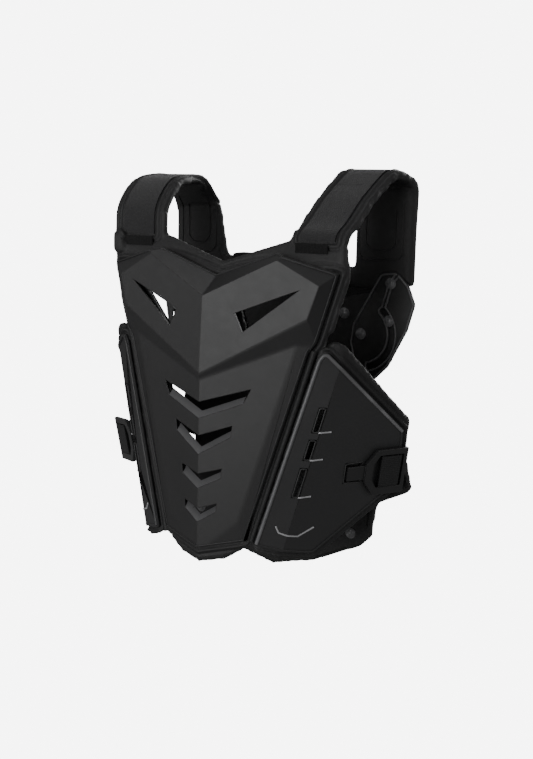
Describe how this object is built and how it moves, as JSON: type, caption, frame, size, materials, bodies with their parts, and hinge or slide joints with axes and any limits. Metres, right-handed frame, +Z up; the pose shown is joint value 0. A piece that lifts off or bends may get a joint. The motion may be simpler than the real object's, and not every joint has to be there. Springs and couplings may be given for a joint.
{
  "type": "chest protector",
  "caption": "Vest-style hard-shell chest and back protector with foam pads, flexing side wings, clip-on elastic side straps and adjustable shoulder straps.",
  "frame": {"origin": "centre of the torso space, midway between the front ridge and the back shell", "axes": "+X to the wearer's left, -Y to the front, +Z up"},
  "size_m": [0.4248, 0.2163, 0.5157],
  "materials": {
    "hard_shell": "satin moulded",
    "foam_pad": "fine fabric-faced moulded foam",
    "lining": "knitted mesh",
    "rivets": "polished dark",
    "loop_tape": "brushed loop pile",
    "hook_tape": "matt hook tape",
    "clip_plastic": "semi-gloss moulded",
    "webbing": "ribbed elastic weave"
  },
  "bodies": {
    "back": {"back_shell": "hard_shell", "back_foam_pad": "foam_pad", "back_lining": "lining", "back_shell_rivets": "rivets", "left_strap_pad_rear": "foam_pad", "left_loop_tape_rear": "loop_tape", "left_yoke_pivot_rivet": "rivets", "left_yoke_guide_rivet": "rivets", "left_webbing_anchor": "clip_plastic", "right_strap_pad_rear": "foam_pad", "right_loop_tape_rear": "loop_tape", "right_yoke_pivot_rivet": "rivets", "right_yoke_guide_rivet": "rivets", "right_webbing_anchor": "clip_plastic"},
    "front": {"front_shell": "hard_shell", "front_foam_pad": "foam_pad", "front_lining": "lining", "left_strap_pad_front": "foam_pad", "left_loop_tape_front": "loop_tape", "left_hook_patch": "hook_tape", "left_fold_strip": "foam_pad", "right_strap_pad_front": "foam_pad", "right_loop_tape_front": "loop_tape", "right_hook_patch": "hook_tape", "right_fold_strip": "foam_pad"},
    "left_wing": {"left_wing_plate": "hard_shell", "left_wing_foam": "foam_pad"},
    "left_yoke": {"left_yoke_plate": "hard_shell", "left_strap_rivet": "rivets"},
    "left_clip": {"left_side_clip": "clip_plastic", "left_elastic_webbing": "webbing"},
    "right_wing": {"right_wing_plate": "hard_shell", "right_wing_foam": "foam_pad"},
    "right_yoke": {"right_yoke_plate": "hard_shell", "right_strap_rivet": "rivets"},
    "right_clip": {"right_side_clip": "clip_plastic", "right_elastic_webbing": "webbing"}
  },
  "joints": [
    {"name": "front_open", "type": "hinge", "parent": "back", "child": "front", "pos_m": [0, 0.02, 0.2805], "axis": [-1, 0, 0], "range_deg": [0, 10]},
    {"name": "left_wing_flex", "type": "hinge", "parent": "front", "child": "left_wing", "pos_m": [0.131, -0.062, 0.084], "axis": [0.2798, 0.075, 0.9571], "range_deg": [0, 5], "stiffness_Nm_per_rad": 4},
    {"name": "left_clip_swing", "type": "hinge", "parent": "back", "child": "left_clip", "pos_m": [0.186, 0.0755, -0.068], "axis": [0, 0, 1], "range_deg": [0, 110]},
    {"name": "left_yoke_turn", "type": "hinge", "parent": "back", "child": "left_yoke", "pos_m": [0.1199, 0.0776, 0.0884], "axis": [0, 1, 0], "range_deg": [-8, 8]},
    {"name": "right_wing_flex", "type": "hinge", "parent": "front", "child": "right_wing", "pos_m": [-0.131, -0.062, 0.084], "axis": [0.2798, -0.075, -0.9571], "range_deg": [0, 5], "stiffness_Nm_per_rad": 4},
    {"name": "right_clip_swing", "type": "hinge", "parent": "back", "child": "right_clip", "pos_m": [-0.186, 0.0755, -0.068], "axis": [0, 0, -1], "range_deg": [0, 80]},
    {"name": "right_yoke_turn", "type": "hinge", "parent": "back", "child": "right_yoke", "pos_m": [-0.1199, 0.0776, 0.0884], "axis": [0, 1, 0], "range_deg": [-8, 8]}
  ],
  "couplings": [
    {"joint": "left_clip_swing", "follows": "front_open", "ratio": 11},
    {"joint": "right_clip_swing", "follows": "front_open", "ratio": 8}
  ]
}
